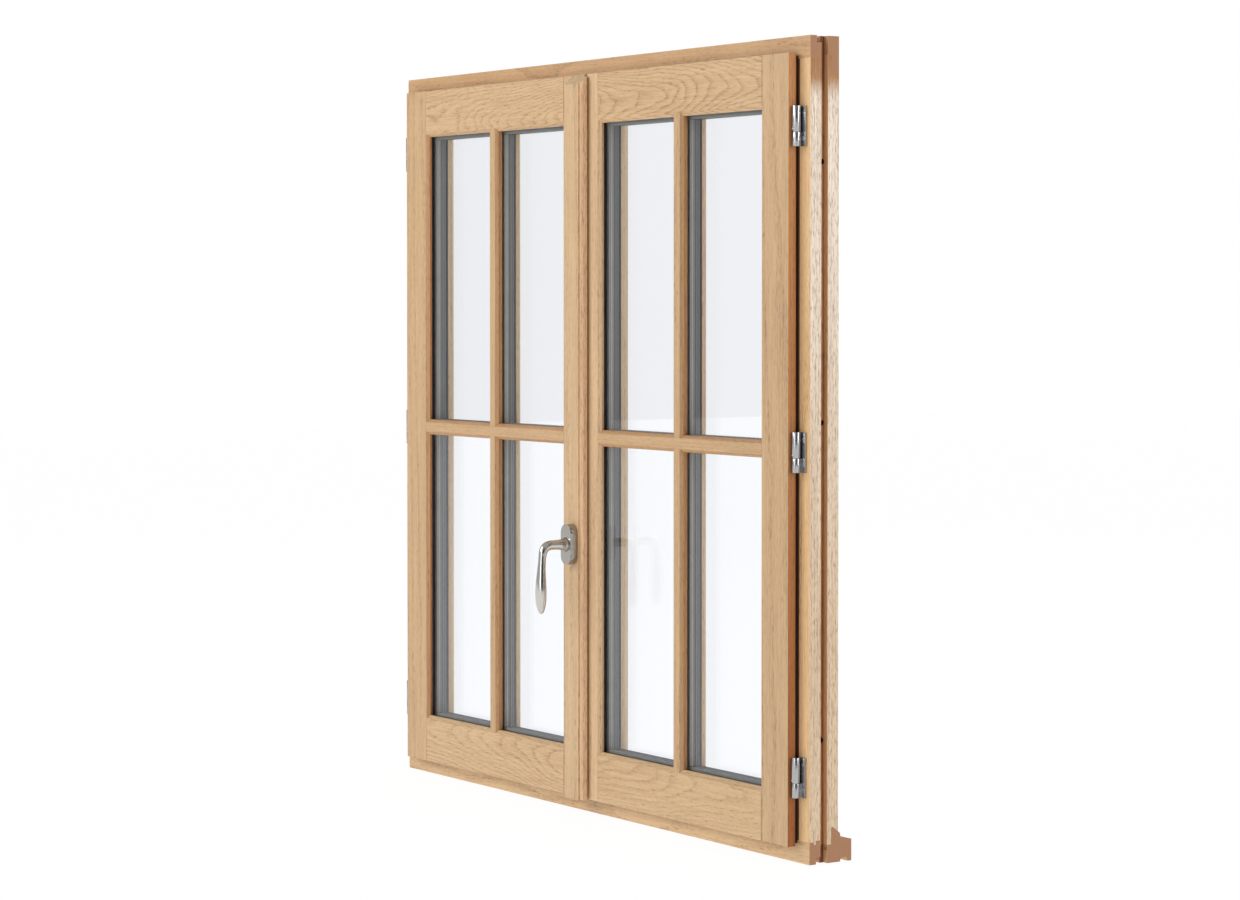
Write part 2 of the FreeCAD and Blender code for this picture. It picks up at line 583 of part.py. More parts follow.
hinge_knuckles = group("right_knuckles", *[leaf_hinge(i, z) for i, z in enumerate(hinge_heights)])
grub_screws = group("right_grubs", *grubs)
SHARED = {
    "hinge_stile": hinge_stile, "top_rail": top_rail, "bottom_rail": bottom_rail,
    "inner_muntin_bar": inner_level, "inner_muntin_uprights": inner_uprights,
    "outer_muntin_bar": outer_level, "outer_muntin_uprights": outer_uprights,
    "inner_glass": inner_glass, "outer_glass": outer_glass, "glass_spacer": spacer,
    "inner_gasket": inner_gasket, "outer_gasket": outer_gasket, "glazing_beads": glazing_beads,
    "hinge_knuckles": hinge_knuckles, "hinge_grub_screws": grub_screws,
}
for name, piece in SHARED.items():
    node(f"active_{name}", mirrored(f"{name}_image", piece, ACROSS))
    node(f"passive_{name}", piece)
node("passive_meeting_stile", passive_meeting)
node("passive_weather_bar", weather_bar("passive_drip_bar", d.weather_start_passive))
node("active_weather_bar", mirrored("active_drip_bar", weather_bar(
    "active_drip_source", d.weather_start_active), ACROSS))

cover_front = d.leaf_back + d.cover_gap
cover_shoulder = d.cover_back - d.cover_bevel
node("passive_outer_astragal", bar(
    "outer_astragal_bar", "XY",
    [(d.passive_edge, d.leaf_back), (d.cover_outer, d.leaf_back), (d.cover_outer, cover_shoulder),
     (d.cover_outer - d.cover_bevel, d.cover_back), (d.cover_inner + d.cover_bevel, d.cover_back),
     (d.cover_inner, cover_shoulder), (d.cover_inner, cover_front), (d.passive_edge, cover_front)],
    d.cover_low, d.frame_height - d.cover_low))

# ---------------------------------------------------------------- active meeting stile and astragal
handle_z = d.handle_height
case_x = (-d.case_half, d.plate_side)
case_z = (d.case_low, d.case_high)
rosette_back = -d.astragal_face
rosette_face = rosette_back - d.rosette_thick
lock_cuts = [
    block("case_pocket", case_x, (d.case_front, d.case_back), case_z),
    block("rod_channel", (d.channel_inner, d.plate_side), pocket_y,
          (d.leaf_body_low - OVERRUN, leaf_body_high + OVERRUN)),
    block("faceplate_seat", (d.plate_side, d.active_edge + OVERRUN), (d.faceplate_front, d.faceplate_back),
          (d.faceplate_low, d.frame_height - d.faceplate_low)),
]
spindle_hole = cylinder("spindle_hole", "Y", d.spindle_bore, -d.astragal_face, d.case_front + d.case_wall,
                        z=handle_z)
rosette_screws = [
    cylinder(f"rosette_screw_{i}", "Y", d.rosette_screw_radius, -d.rosette_screw_head, d.rosette_screw_tip,
             z=handle_z + d.rosette_screw_rise * way) for i, way in enumerate((-1, 1))]
active_source = cut("active_meeting_source", meeting_stile_bar("active_meeting_bar", -d.active_edge),
                    *meeting_tenons, *meeting_notches)
active_image = mirrored("active_meeting_image", active_source, ACROSS)
node("active_meeting_stile", cut("active_meeting_piece", active_image, *lock_cuts, spindle_hole,
                                 *rosette_screws))

# The astragal: flat face, a quirk and bead on each edge, and a wing over the passive leaf.
half, bead, quirk = d.astragal_half, d.astragal_bead, d.astragal_quirk
face, wing = -d.astragal_face, -d.astragal_wing
bead_face = face + d.quirk_bead_drop
astragal_outline = [
    (-half, -d.leaf_face), (-half, face + d.ease_side),
    (-half + d.ease_middle_in, face + d.ease_middle_back), (-half + d.ease_face, face),
    (half - bead - quirk, face), (half - bead - quirk, face + quirk), (half - bead, face + quirk),
    (half - bead + d.quirk_bead_drop, bead_face), (half - d.quirk_bead_ease, bead_face),
    (half, bead_face + d.quirk_bead_ease), (half, wing), (d.active_edge, wing),
    (d.active_edge, -d.leaf_face)]
astragal_bar = bar("astragal_bar", "XY", astragal_outline, d.leaf_lip_low, leaf_lip_high)
bevel_start = leaf_lip_high - d.astragal_bevel
end_bevel = bar("astragal_end_bevel", "YZ",
                [(face - OVERRUN, bevel_start - OVERRUN), (face + d.astragal_bevel, leaf_lip_high),
                 (face + d.astragal_bevel, leaf_lip_high + OVERRUN),
                 (face - OVERRUN, leaf_lip_high + OVERRUN)],
                -half - OVERRUN, half + OVERRUN)
node("astragal", cut("astragal_piece", astragal_bar, end_bevel, spindle_hole, *rosette_screws))

# ---------------------------------------------------------------- handle
half_rosette = d.rosette_width / 2
rosette_rise = d.rosette_height / 2 - half_rosette
rosette_solid = fuse(
    "rosette_solid",
    block("rosette_middle", (-half_rosette, half_rosette), (rosette_face, rosette_back),
          (handle_z - rosette_rise, handle_z + rosette_rise)),
    *[cylinder(f"rosette_end_{i}", "Y", half_rosette, rosette_face, rosette_back,
               z=handle_z + rosette_rise * way) for i, way in enumerate((-1, 1))])
neck_bore = cylinder("neck_bore", "Y", d.neck_radius + d.neck_clearance, rosette_face - OVERRUN,
                     rosette_back + OVERRUN, z=handle_z)
node("handle_rosette", cut("rosette_piece", rosette_solid, neck_bore, *rosette_screws))
node("rosette_screws", group("rosette_screw_pair", *rosette_screws))

half_square = d.spindle_square / 2
spindle = block("square_spindle", (-half_square, half_square), (-d.spindle_front, d.gear_back),
                (handle_z - half_square, handle_z + half_square))
node("handle_spindle", spindle)

# Grip sections from the elbow down: share of the length, half-width across X and half-depth along Y.
GRIP = ((0.0, 7.6, 7.6), (0.2, 6.8, 5.8), (0.42, 8.8, 6.9), (0.66, 11.3, 8.4), (0.86, 9.6, 7.2),
        (1.0, 2.6, 2.2))
grip_sections = []
for i, (share, across, deep) in enumerate(GRIP):
    section = doc.addObject("Part::Ellipse", f"grip_section_{i}")
    section.MajorRadius = across
    section.MinorRadius = deep
    place(section, y=-d.grip_front, z=handle_z - d.grip_length * share)
    grip_sections.append(section)
grip = doc.addObject("Part::Loft", "grip")
grip.Sections = grip_sections
grip.Solid = True
elbow = doc.addObject("Part::Sphere", "elbow")
bind(elbow, "Radius", d.elbow_radius)
place(elbow, y=-d.grip_front + d.elbow_back, z=handle_z)
collar = cylinder("neck_collar", "Y", d.neck_radius, -d.collar_end, -d.neck_start, z=handle_z)
neck = cylinder("neck", "Y", d.neck_bar_radius, -d.grip_front, -d.neck_start, z=handle_z)
node("lever", cut("lever_piece", fuse("lever_solid", collar, neck, elbow, grip), spindle))

# ---------------------------------------------------------------- lock gear
TEETH = 10
PRESSURE_TURN = math.radians(20)
pitch = d.gear_module * math.pi
# Along each rack, in tooth pitches from the handle's axis: its two ends, and where its rod starts.
RACK_NEAR, RACK_FAR, ROD_START = 2.1, 4, 3.9


def polar(radius, angle):
    """A point round the handle's axis, as X and Z."""
    return size(radius) * math.cos(angle), handle_z + size(radius) * math.sin(angle)


# Half-angles of a tooth at its foot, pitch circle and tip, thinned for running clearance.
TOOTH = ((d.gear_root, 0.150), (d.gear_pitch, 0.138), (d.gear_tip, 0.070))
gear_outline = []
for tooth in range(TEETH):
    middle = 2 * math.pi * tooth / TEETH
    gear_outline += [polar(radius, middle - angle) for radius, angle in TOOTH]
    gear_outline += [polar(radius, middle + angle) for radius, angle in reversed(TOOTH)]
pinion_blank = bar("pinion_blank", "XZ", gear_outline, d.gear_front, d.gear_back)
node("pinion", cut("pinion_piece", pinion_blank, spindle))


def rack_outline(side, way):
    """A rack's toothed bar in X and Z. side is its side of the pinion, way the end it runs towards."""
    slope = math.tan(PRESSURE_TURN)
    half_tip = d.rack_half_tip
    half_root = half_tip + (d.rack_root - d.rack_tip) * slope
    points = []
    for step in range(-2, 4):
        centre = handle_z + pitch * ((step + 0.5) * way)
        points += [(d.rack_root * side, centre - half_root * way),
                   (d.rack_tip * side, centre - half_tip * way),
                   (d.rack_tip * side, centre + half_tip * way),
                   (d.rack_root * side, centre + half_root * way)]
    far = handle_z + pitch * (RACK_FAR * way)
    near = handle_z - pitch * (RACK_NEAR * way)
    return [(d.rod_back * side, near), (d.rack_root * side, near)] + points + [
        (d.rack_root * side, far), (d.rod_back * side, far)]


rod_x = (d.rod_front, d.rod_back)
gear_y = (d.gear_front, d.gear_back)
upper_rack = bar("upper_rack", "XZ", rack_outline(1, 1), *gear_y)
upper_bar = block("upper_bar", rod_x, gear_y, (handle_z + pitch * ROD_START, d.frame_height - d.rod_tip))
node("upper_lock_rod", fuse("upper_rod_piece", upper_rack, upper_bar))
lower_rack = bar("lower_rack", "XZ", rack_outline(-1, -1), *gear_y)
lower_leg = block("lower_leg", (-d.rod_back, -d.rack_root), gear_y,
                  (d.link_low, handle_z - pitch * ROD_START))
link = block("rod_link", (-d.rod_back, d.rod_back), gear_y, (d.link_low, d.link_high))
lower_bar = block("lower_bar", rod_x, gear_y, (d.rod_tip, d.link_high))
node("lower_lock_rod", fuse("lower_rod_piece", lower_rack, lower_leg, link, lower_bar))

case_hollow = block("case_hollow", (-d.case_half + d.case_wall, d.plate_side + OVERRUN),
                    (d.case_front + d.case_wall, d.case_back - d.case_wall),
                    (d.case_low + d.case_wall, d.case_high - d.case_wall))
case_slots = block("case_slots", (d.channel_inner, d.plate_side + OVERRUN),
                   (d.case_front + d.case_wall, d.case_back - d.case_wall),
                   (d.case_low - OVERRUN, d.case_high + OVERRUN))
case_solid = block("case_solid", case_x, (d.case_front, d.case_back), case_z)
node("gearbox_case", cut("gearbox_case_piece", case_solid, case_hollow, case_slots, spindle_hole))
node("faceplate", block("faceplate_strip", (d.plate_side, d.active_edge),
                        (d.faceplate_front, d.faceplate_back),
                        (d.faceplate_low, d.frame_height - d.faceplate_low)))

# ---------------------------------------------------------------- flush bolts
thumb_z = (d.thumb_low, d.thumb_high)
bolt_bar = block("bolt_bar", (d.bolt_inner, d.bolt_outer), (d.bolt_front, d.bolt_back),
                 (d.rod_tip, d.rod_tip + d.bolt_length))
thumb = block("bolt_thumb", (d.passive_edge - d.thumb_proud, d.bolt_inner + d.thumb_root),
              (d.thumb_front, d.thumb_back), thumb_z)
lower_bolt = fuse("lower_bolt_piece", bolt_bar, thumb)
node("lower_flush_bolt", lower_bolt)
node("upper_flush_bolt", mirrored("upper_bolt_piece", lower_bolt, UPWARDS, half_height))
thumb_slot = block("thumb_slot", (d.passive_edge - OVERRUN, d.bolt_plate_side + OVERRUN),
                   (d.thumb_front - d.bolt_clearance, d.thumb_back + d.bolt_clearance),
                   (d.thumb_low - d.thumb_play, d.thumb_high + d.bolt_travel + d.thumb_play))
bolt_plate = cut("bolt_plate_low_piece",
                 block("bolt_plate_blank", (d.passive_edge, d.bolt_plate_side),
                       (d.faceplate_front, d.faceplate_back), (d.bolt_plate_low, d.bolt_plate_high)),
                 thumb_slot)
node("flush_bolt_plates", both_ends("bolt_plate_pair", bolt_plate))

# ---------------------------------------------------------------- check and write
doc.recompute()
for thing in doc.Objects:
    faults = [word for word in thing.State if word in ("Invalid", "Error")]
    if faults:
        raise RuntimeError(f"{thing.Label}: {faults}")
for name, piece in nodes.items():
    if piece.Shape.isNull() or not piece.Shape.isValid() or not piece.Shape.Solids:
        raise RuntimeError(f"{name} is not a sound solid")
os.makedirs("parts", exist_ok=True)
for name, piece in nodes.items():
    piece.Shape.exportStep(f"parts/{name}.step")
    print(f"{name}: {len(piece.Shape.Solids)} solid(s), {piece.Shape.Volume / 1000:.1f} cm3")
print(len(nodes), "nodes")
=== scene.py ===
import json
import math
import random

import bpy
import bmesh
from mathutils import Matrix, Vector


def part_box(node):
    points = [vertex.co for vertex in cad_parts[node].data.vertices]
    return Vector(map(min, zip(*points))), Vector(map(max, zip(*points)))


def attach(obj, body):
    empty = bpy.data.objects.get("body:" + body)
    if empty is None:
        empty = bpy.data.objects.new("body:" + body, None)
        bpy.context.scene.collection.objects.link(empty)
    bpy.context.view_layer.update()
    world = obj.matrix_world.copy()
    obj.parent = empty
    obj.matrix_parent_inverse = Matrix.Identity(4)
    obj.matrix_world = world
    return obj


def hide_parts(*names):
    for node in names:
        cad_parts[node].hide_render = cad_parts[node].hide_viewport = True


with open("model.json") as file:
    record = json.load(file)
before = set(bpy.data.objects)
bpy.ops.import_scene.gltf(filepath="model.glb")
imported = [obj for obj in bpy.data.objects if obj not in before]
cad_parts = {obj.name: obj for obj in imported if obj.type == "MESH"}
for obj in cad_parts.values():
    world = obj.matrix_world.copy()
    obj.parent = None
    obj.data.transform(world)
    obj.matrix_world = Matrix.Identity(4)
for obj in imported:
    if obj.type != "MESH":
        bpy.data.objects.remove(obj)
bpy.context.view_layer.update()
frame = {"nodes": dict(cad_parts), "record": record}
scene = bpy.context.scene
nodes = frame["nodes"]
SLOT_OF = {s["node"]: s["material_slot"] for s in frame["record"]["subparts"]}
FRAME_LOW, FRAME_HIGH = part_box("sill")[0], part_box("head")[1]
MM = 0.001


# ---------------------------------------------------------------- node helpers
class Tree:
    """The node tree of a material or a world, with short calls for the nodes that are used here."""

    def __init__(self, owner, output="ShaderNodeOutputMaterial"):
        self.owner = owner
        owner.use_nodes = True
        self.nodes = owner.node_tree.nodes
        self.links = owner.node_tree.links
        self.nodes.clear()
        self.output = self.add(output)

    def add(self, kind, inputs=None, **settings):
        made = self.nodes.new(kind)
        for key, value in settings.items():
            setattr(made, key, value)
        for key, value in (inputs or {}).items():
            self.feed(made.inputs[key], value)
        return made

    def feed(self, socket, value):
        if isinstance(value, bpy.types.NodeSocket):
            self.links.new(value, socket)
        else:
            socket.default_value = value

    def maths(self, operation, *values):
        made = self.add("ShaderNodeMath", operation=operation)
        for i, value in enumerate(values):
            self.feed(made.inputs[i], value)
        return made.outputs[0]

    def vector_maths(self, operation, a, b):
        made = self.add("ShaderNodeVectorMath", operation=operation)
        self.feed(made.inputs[0], a)
        self.feed(made.inputs[1], b)
        return made.outputs[0]

    def separate(self, vector):
        return self.add("ShaderNodeSeparateXYZ", {"Vector": vector}).outputs

    def noise(self, vector, scale, detail=2.0, roughness=0.5):
        made = self.add("ShaderNodeTexNoise", {"Vector": vector, "Scale": scale, "Detail": detail,
                                               "Roughness": roughness})
        return made.outputs[0]

    def ramp(self, value, *stops):
        """Straight steps through (position, grey) or (position, colour) stops."""
        made = self.add("ShaderNodeValToRGB", {"Fac": value})
        points = made.color_ramp.elements
        while len(points) < len(stops):
            points.new(0.5)
        for point, (position, colour) in zip(points, stops):
            point.position = position
            point.color = (*colour, 1) if isinstance(colour, tuple) else (colour, colour, colour, 1)
        return made.outputs[0]

    def mix(self, factor, a, b, blend="MIX"):
        made = self.add("ShaderNodeMix", data_type="RGBA", blend_type=blend)
        self.feed(made.inputs[0], factor)
        self.feed(made.inputs[6], a if not isinstance(a, tuple) else (*a, 1))
        self.feed(made.inputs[7], b if not isinstance(b, tuple) else (*b, 1))
        return made.outputs[2]

    def bump(self, height, strength, distance):
        made = self.add("ShaderNodeBump", {"Height": height, "Strength": strength, "Distance": distance})
        return made.outputs[0]

    def finish(self, shader):
        self.links.new(shader, self.output.inputs[0])
        return self.owner


def material_tree(name):
    return Tree(bpy.data.materials.new(name))


# ---------------------------------------------------------------- oak
EARLY_WOOD = (0.355, 0.188, 0.078)
LATE_WOOD = (0.650, 0.432, 0.232)
PORE = (0.170, 0.078, 0.028)
LONG_PORE = (0.300, 0.135, 0.055)
END_GRAIN = (0.470, 0.225, 0.105)
END_SHADE = 0.62

# Each field of noise in a board: features a metre along it and across it, detail and roughness.
FIELDS = {
    "wander": (2.6, 7.0, 1.0, 0.5), "ripple": (22.0, 45.0, 2.0, 0.5), "fibre": (9.0, 330.0, 3.0, 0.65),
    "streak": (3.0, 95.0, 2.0, 0.5), "pores": (75.0, 900.0, 1.0, 0.5), "broad": (1.6, 14.0, 2.0, 0.5),
    "long_pores": (70.0, 620.0, 2.0, 0.5),
}
# The ripple's share of the rings' wander, and one ring from its dark early wood to its pale late wood.
RIPPLE_SHARE = 0.09
RING = ((0.0, 1.0), (0.14, 0.55), (0.34, 0.16), (0.60, 0.0), (0.92, 0.04), (1.0, 0.8))
LOG_REACH = 4


def field(t, board, name):
    along, across, detail, roughness = FIELDS[name]
    stretched = t.vector_maths("MULTIPLY", board, (along, across, across))
    return t.noise(stretched, 1.0, detail, roughness)


def inside_box(t, parts, box):
    """1 inside a box of (low, high) pairs, the first pair being a distance from the centre plane."""
    inside = 1.0
    for axis, (low, high) in enumerate(box):
        distance = t.maths("ABSOLUTE", parts[0]) if axis == 0 else parts[axis]
        inside = t.maths("MULTIPLY", inside, t.maths("GREATER_THAN", distance, low))
        inside = t.maths("MULTIPLY", inside, t.maths("LESS_THAN", distance, high))
    return inside


def ring_bands(t, board, middle, look, chance):
    """Growth rings round a pith behind the board, whose centre is at middle.

    A plain board is cut far from the pith, so its lines run straight.
    """
    run, across, deep = t.separate(board)
    drift = t.maths("ADD", t.maths("MULTIPLY", field(t, board, "wander"), look["wander"]),
                    t.maths("MULTIPLY", field(t, board, "ripple"), look["wander"] * RIPPLE_SHARE))
    off, back = look["pith"]
    pith_across = middle[1] + chance.uniform(-1, 1) * off
    pith_deep = middle[2] + back * chance.uniform(0.8, 1.2)
    lean = chance.choice((-1, 1)) * look["tilt"]
    tilt = t.maths("MULTIPLY", t.maths("SUBTRACT", run, middle[0]), lean)
    side = t.maths("SUBTRACT", across, pith_across)
    depth = t.maths("ADD", t.maths("SUBTRACT", deep, pith_deep), tilt)
    square = t.maths("ADD", t.maths("MULTIPLY", side, side), t.maths("MULTIPLY", depth, depth))
    radius = t.maths("SQRT", square)
    rings = t.maths("FRACT", t.maths("DIVIDE", t.maths("ADD", radius, drift), look["spacing"]))
    return t.ramp(rings, *RING)


def face_colour(t, board, band, fibre, pores, look):
    """The board's long faces: rings, fibres, streaks, broad changes of tone and open pores."""
    broad = field(t, board, "broad")
    strength = t.maths("MULTIPLY", t.ramp(broad, (0.32, 0.45), (0.62, 1.0)), look["figure"])
    amount = t.maths("MULTIPLY", t.maths("SUBTRACT", band, 0.22), strength)
    for part, share in ((fibre, 0.95), (field(t, board, "streak"), 0.42), (broad, 0.30)):
        amount = t.maths("ADD", amount, t.maths("MULTIPLY", t.maths("SUBTRACT", part, 0.5), share))
    amount = t.maths("ADD", amount, 0.20)
    late, early = (tuple(c * k for c, k in zip(colour, look["tone"])) for colour in (LATE_WOOD, EARLY_WOOD))
    return t.mix(t.maths("MULTIPLY", pores, 0.62), t.mix(amount, late, early), PORE)


def side_colour(t, board, colour, edge, look):
    """The narrow sides, tinted apart from the faces; on the jambs the tint is a painted sheen. Some show long
    dark pores.
    """
    sided = t.mix(1.0, colour, edge, "MULTIPLY")
    if "dash" in look:
        dashes = t.ramp(field(t, board, "long_pores"), (0.55, 0.0), (0.66, look["dash"]))
        sided = t.mix(dashes, sided, LONG_PORE)
    return sided


def end_colour(t, board, band):
    """End grain, which shows only the pores' mouths and a trace of the rings."""
    speckle = t.noise(board, 1100.0, 2.0)
    amount = t.maths("ADD", t.maths("MULTIPLY", speckle, 0.8), t.maths("MULTIPLY", band, 0.16))
    return t.mix(amount, END_GRAIN, tuple(c * END_SHADE for c in END_GRAIN))


def oak(name, along, seed, look):
    """Clear-lacquered oak. along is the bar's own direction; seed moves the board in the log."""
    t = material_tree(name)
    chance = random.Random(seed)
    place = t.add("ShaderNodeTexCoord")
    parts = t.separate(place.outputs["Object"])
    normals = t.separate(place.outputs["Normal"])
    order = {"Z": (2, 0, 1), "X": (0, 2, 1)}[along]
    turned = t.add("ShaderNodeCombineXYZ", {axis: parts[i] for axis, i in zip("XYZ", order)}).outputs[0]
    shift = tuple(chance.uniform(-LOG_REACH, LOG_REACH) for _ in range(3))
    board = t.vector_maths("ADD", turned, shift)
    centre = (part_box(name)[0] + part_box(name)[1]) / 2
    middle = [centre[i] + moved for i, moved in zip(order, shift)]

    band = ring_bands(t, board, middle, look, chance)
    fibre = field(t, board, "fibre")
    # The open pores gather in the early wood.
    pores = t.maths("MULTIPLY", t.ramp(field(t, board, "pores"), (0.55, 0.0), (0.63, 1.0)),
                    t.maths("ADD", t.maths("MULTIPLY", band, 0.7), 0.3))
    colour = face_colour(t, board, band, fibre, pores, look)
    height = t.maths("DIVIDE", parts[2], FRAME_HIGH.z)
    edge = t.ramp(height, *look["edge"]) if along == "Z" else look["edge"][0][1]
    narrow = t.ramp(t.maths("ABSOLUTE", normals[order[1]]), (0.45, 0.0), (0.85, 1.0))
    colour = t.mix(narrow, colour, side_colour(t, board, colour, edge, look))
    end = t.ramp(t.maths("ABSOLUTE", normals[order[0]]), (0.80, 0.0), (0.93, 1.0))
    colour = t.mix(end, colour, end_colour(t, board, band))
    for box, tint in look.get("sealed", ()):
        colour = t.mix(inside_box(t, parts, box), colour, t.mix(1.0, colour, tint, "MULTIPLY"))

    relief = t.maths("SUBTRACT", t.maths("MULTIPLY", fibre, 0.35), pores)
    shader = t.add("ShaderNodeBsdfPrincipled", {
        "Base Color": colour, "Roughness": t.maths("ADD", t.maths("MULTIPLY", fibre, 0.16), 0.36),
        "Normal": t.bump(relief, 0.35, 0.25 * MM), "Coat Weight": 0.12, "Coat Roughness": 0.32,
        "Specular IOR Level": 0.42})
    return t.finish(shader.outputs[0])


# ---------------------------------------------------------------- metals, rubber and glass
def satin_metal(name, base, roughness, stretch=(1, 1, 1)):
    """Metal with a fine drawn or blasted surface and slight changes of sheen."""
    t = material_tree(name)
    place = t.add("ShaderNodeTexCoord").outputs["Object"]
    drawn = t.noise(t.vector_maths("MULTIPLY", place, stretch), 900.0, 2.0)
    patches = t.noise(place, 45.0, 2.0)
    sheen = t.maths("ADD", t.maths("MULTIPLY", drawn, 0.08), t.maths("MULTIPLY", patches, 0.06))
    darker = tuple(c * 0.93 for c in base)
    shader = t.add("ShaderNodeBsdfPrincipled", {
        "Base Color": t.mix(patches, base, darker), "Metallic": 1.0,
        "Roughness": t.maths("ADD", sheen, roughness - 0.07), "Normal": t.bump(drawn, 0.04, 0.02 * MM)})
    return t.finish(shader.outputs[0])


def seal_rubber(name, base):
    """Extruded rubber: dull, finely grained and a little cloudy."""
    t = material_tree(name)
    place = t.add("ShaderNodeTexCoord").outputs["Object"]
    grain = t.noise(place, 700.0, 2.0)
    cloud = t.noise(place, 25.0, 2.0)
    shader = t.add("ShaderNodeBsdfPrincipled", {
        "Base Color": t.mix(cloud, base, tuple(c * 2.1 for c in base)),
        "Roughness": t.maths("ADD", t.maths("MULTIPLY", grain, 0.2), 0.45),
        "Normal": t.bump(grain, 0.25, 0.1 * MM)})
    return t.finish(shader.outputs[0])


RIB_PITCH = 4.2 * MM
# The spacer from its room side outwards, as shares of its depth: a pale half, a line, and a dark half.
SPACER_START, SPACER_SPAN = -4 * MM, 20 * MM
SPACER_STEPS = ((0.0, 0.55), (0.12, 1.0), (0.40, 0.90), (0.46, 0.30), (0.56, 0.30), (0.62, 0.40), (0.9, 0.32))


def spacer_metal(name):
    """The dark warm-edge bar between the panes: matt, and finely ribbed across its width."""
    t = material_tree(name)
    place = t.add("ShaderNodeTexCoord")
    deep = t.separate(place.outputs["Object"])[1]
    ribs = t.maths("SINE", t.maths("MULTIPLY", deep, 2 * math.pi / RIB_PITCH))
    ribs = t.ramp(t.maths("ADD", t.maths("MULTIPLY", ribs, 0.5), 0.5), (0.0, 0.0), (0.35, 1.0))
    cloud = t.noise(place.outputs["Object"], 40.0, 2.0)
    share = t.maths("DIVIDE", t.maths("SUBTRACT", deep, SPACER_START), SPACER_SPAN)
    step = t.ramp(share, *SPACER_STEPS)
    colour = t.mix(1.0, t.mix(ribs, (0.14, 0.14, 0.132), (0.47, 0.47, 0.44)), step, "MULTIPLY")
    # Painted shade: the level faces are darkened, for the shade of the rebate.
    facing_up = t.maths("ABSOLUTE", t.separate(place.outputs["Normal"])[2])
    level = t.ramp(facing_up, (0.4, 0.0), (0.8, 1.0))
    colour = t.mix(level, colour, t.mix(1.0, colour, (0.16, 0.16, 0.15), "MULTIPLY"))
    shader = t.add("ShaderNodeBsdfPrincipled", {
        "Base Color": t.mix(t.maths("MULTIPLY", cloud, 0.3), colour, (0.05, 0.05, 0.048)),
        "Metallic": 0.25, "Roughness": 0.48, "Normal": t.bump(ribs, 0.5, 0.4 * MM)})
    return t.finish(shader.outputs[0])


def clear_glass(name):
    """Thin float glass with a faint cool tint. It reflects 4% head on and all light at grazing."""
    t = material_tree(name)
    place = t.add("ShaderNodeTexCoord").outputs["Object"]
    rolling = t.noise(place, 2.2, 1.0)
    through = t.add("ShaderNodeBsdfTransparent", {"Color": (0.990, 0.994, 1.0, 1)})
    mirror = t.add("ShaderNodeBsdfGlossy", {"Color": (0.95, 0.97, 1.0, 1), "Roughness": 0.015,
                                            "Normal": t.bump(rolling, 0.04, 2 * MM)})
    facing = t.add("ShaderNodeLayerWeight", {"Blend": 0.5}).outputs["Facing"]
    share = t.maths("ADD", t.maths("MULTIPLY", t.maths("POWER", facing, 5.0), 0.96), 0.04)
    shader = t.add("ShaderNodeMixShader", {0: share, 1: through.outputs[0], 2: mirror.outputs[0]})
    return t.finish(shader.outputs[0])


def dress(obj, material):
    obj.data.materials.clear()
    obj.data.materials.append(material)


FINISHES = {
    "satin_steel": satin_metal("satin_steel", (0.46, 0.46, 0.47), 0.25, (0.5, 0.5, 0.03)),
    "satin_nickel": satin_metal("satin_nickel", (0.42, 0.405, 0.372), 0.20),
    "polished_nickel": satin_metal("polished_nickel", (0.62, 0.60, 0.56), 0.17),
    "zinc_steel": satin_metal("zinc_steel", (0.60, 0.61, 0.63), 0.36),
    "glass": clear_glass("glass"),
    "spacer": spacer_metal("spacer"),
    "gasket": seal_rubber("gasket", (0.011, 0.010, 0.009)),
    "frame_seal": seal_rubber("frame_seal", (0.006, 0.004, 0.003)),
}


# ---------------------------------------------------------------- places in the oak tinted dark: glue lines, and painted shade in recesses
# Each is a box of spans in |x|, y and z, with the tint of the wood inside it. SKIN keeps a box just clear
# of the faces beside it.
SKIN = 0.1 * MM
ANY_HEIGHT = (FRAME_LOW.z - 1, FRAME_HIGH.z + 1)

# The groove down each side of the frame, with its depth and front and back edges as the CAD has them.
GROOVE_DEPTH, GROOVE_FRONT, GROOVE_BACK = 9.3 * MM, 20.8 * MM, 33.3 * MM
GROOVE_FLOOR = FRAME_HIGH.x - GROOVE_DEPTH
# Painted shade: the groove's walls and floor are tinted dark reddish brown, for the shadow inside it.
GROOVE = ((GROOVE_FLOOR - 3 * SKIN, FRAME_HIGH.x - SKIN), (GROOVE_FRONT + SKIN, GROOVE_BACK - SKIN),
          ANY_HEIGHT), (0.44, 0.22, 0.10)

# The fixing holes, from just past the jamb's inner side to just short of the groove's floor.
HOLE_REACH, HOLE_START = 5 * MM, FRAME_HIGH.x - 60 * MM


def hole_box(mount):
    _, y, z = mount["pos_m"]
    return ((HOLE_START, GROOVE_FLOOR - 2 * SKIN), (y - HOLE_REACH, y + HOLE_REACH),
            (z - HOLE_REACH, z + HOLE_REACH))


# Painted shade: the fixing holes' walls are tinted nearly black, for the shadow inside them.
HOLES = [(hole_box(mount), (0.06, 0.03, 0.02)) for mount in frame["record"]["mounts"]
         if mount["name"].startswith("right_fixing_hole")]

LEAF_LOW, LEAF_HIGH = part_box("passive_hinge_stile")
# The frame's room face where it meets the side of the leaf's lip, darkened with painted shade for the shadow
# of the crevice.
CREVICE = ((LEAF_HIGH.x - 3 * MM, LEAF_HIGH.x + 1.8 * MM), (-5 * SKIN, 5 * SKIN),
           ANY_HEIGHT), (0.26, 0.13, 0.08)

# The glue lines on the rails, where they end against the stiles. On the room face the stiles' moulding
# stands MOULDING further over the rails than at the back.
GLUE, GLUE_LINE, MOULDING = (0.42, 0.24, 0.14), 0.9 * MM, 7 * MM
REBATE_IN, REBATE_OUT = (corner.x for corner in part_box("passive_inner_gasket"))


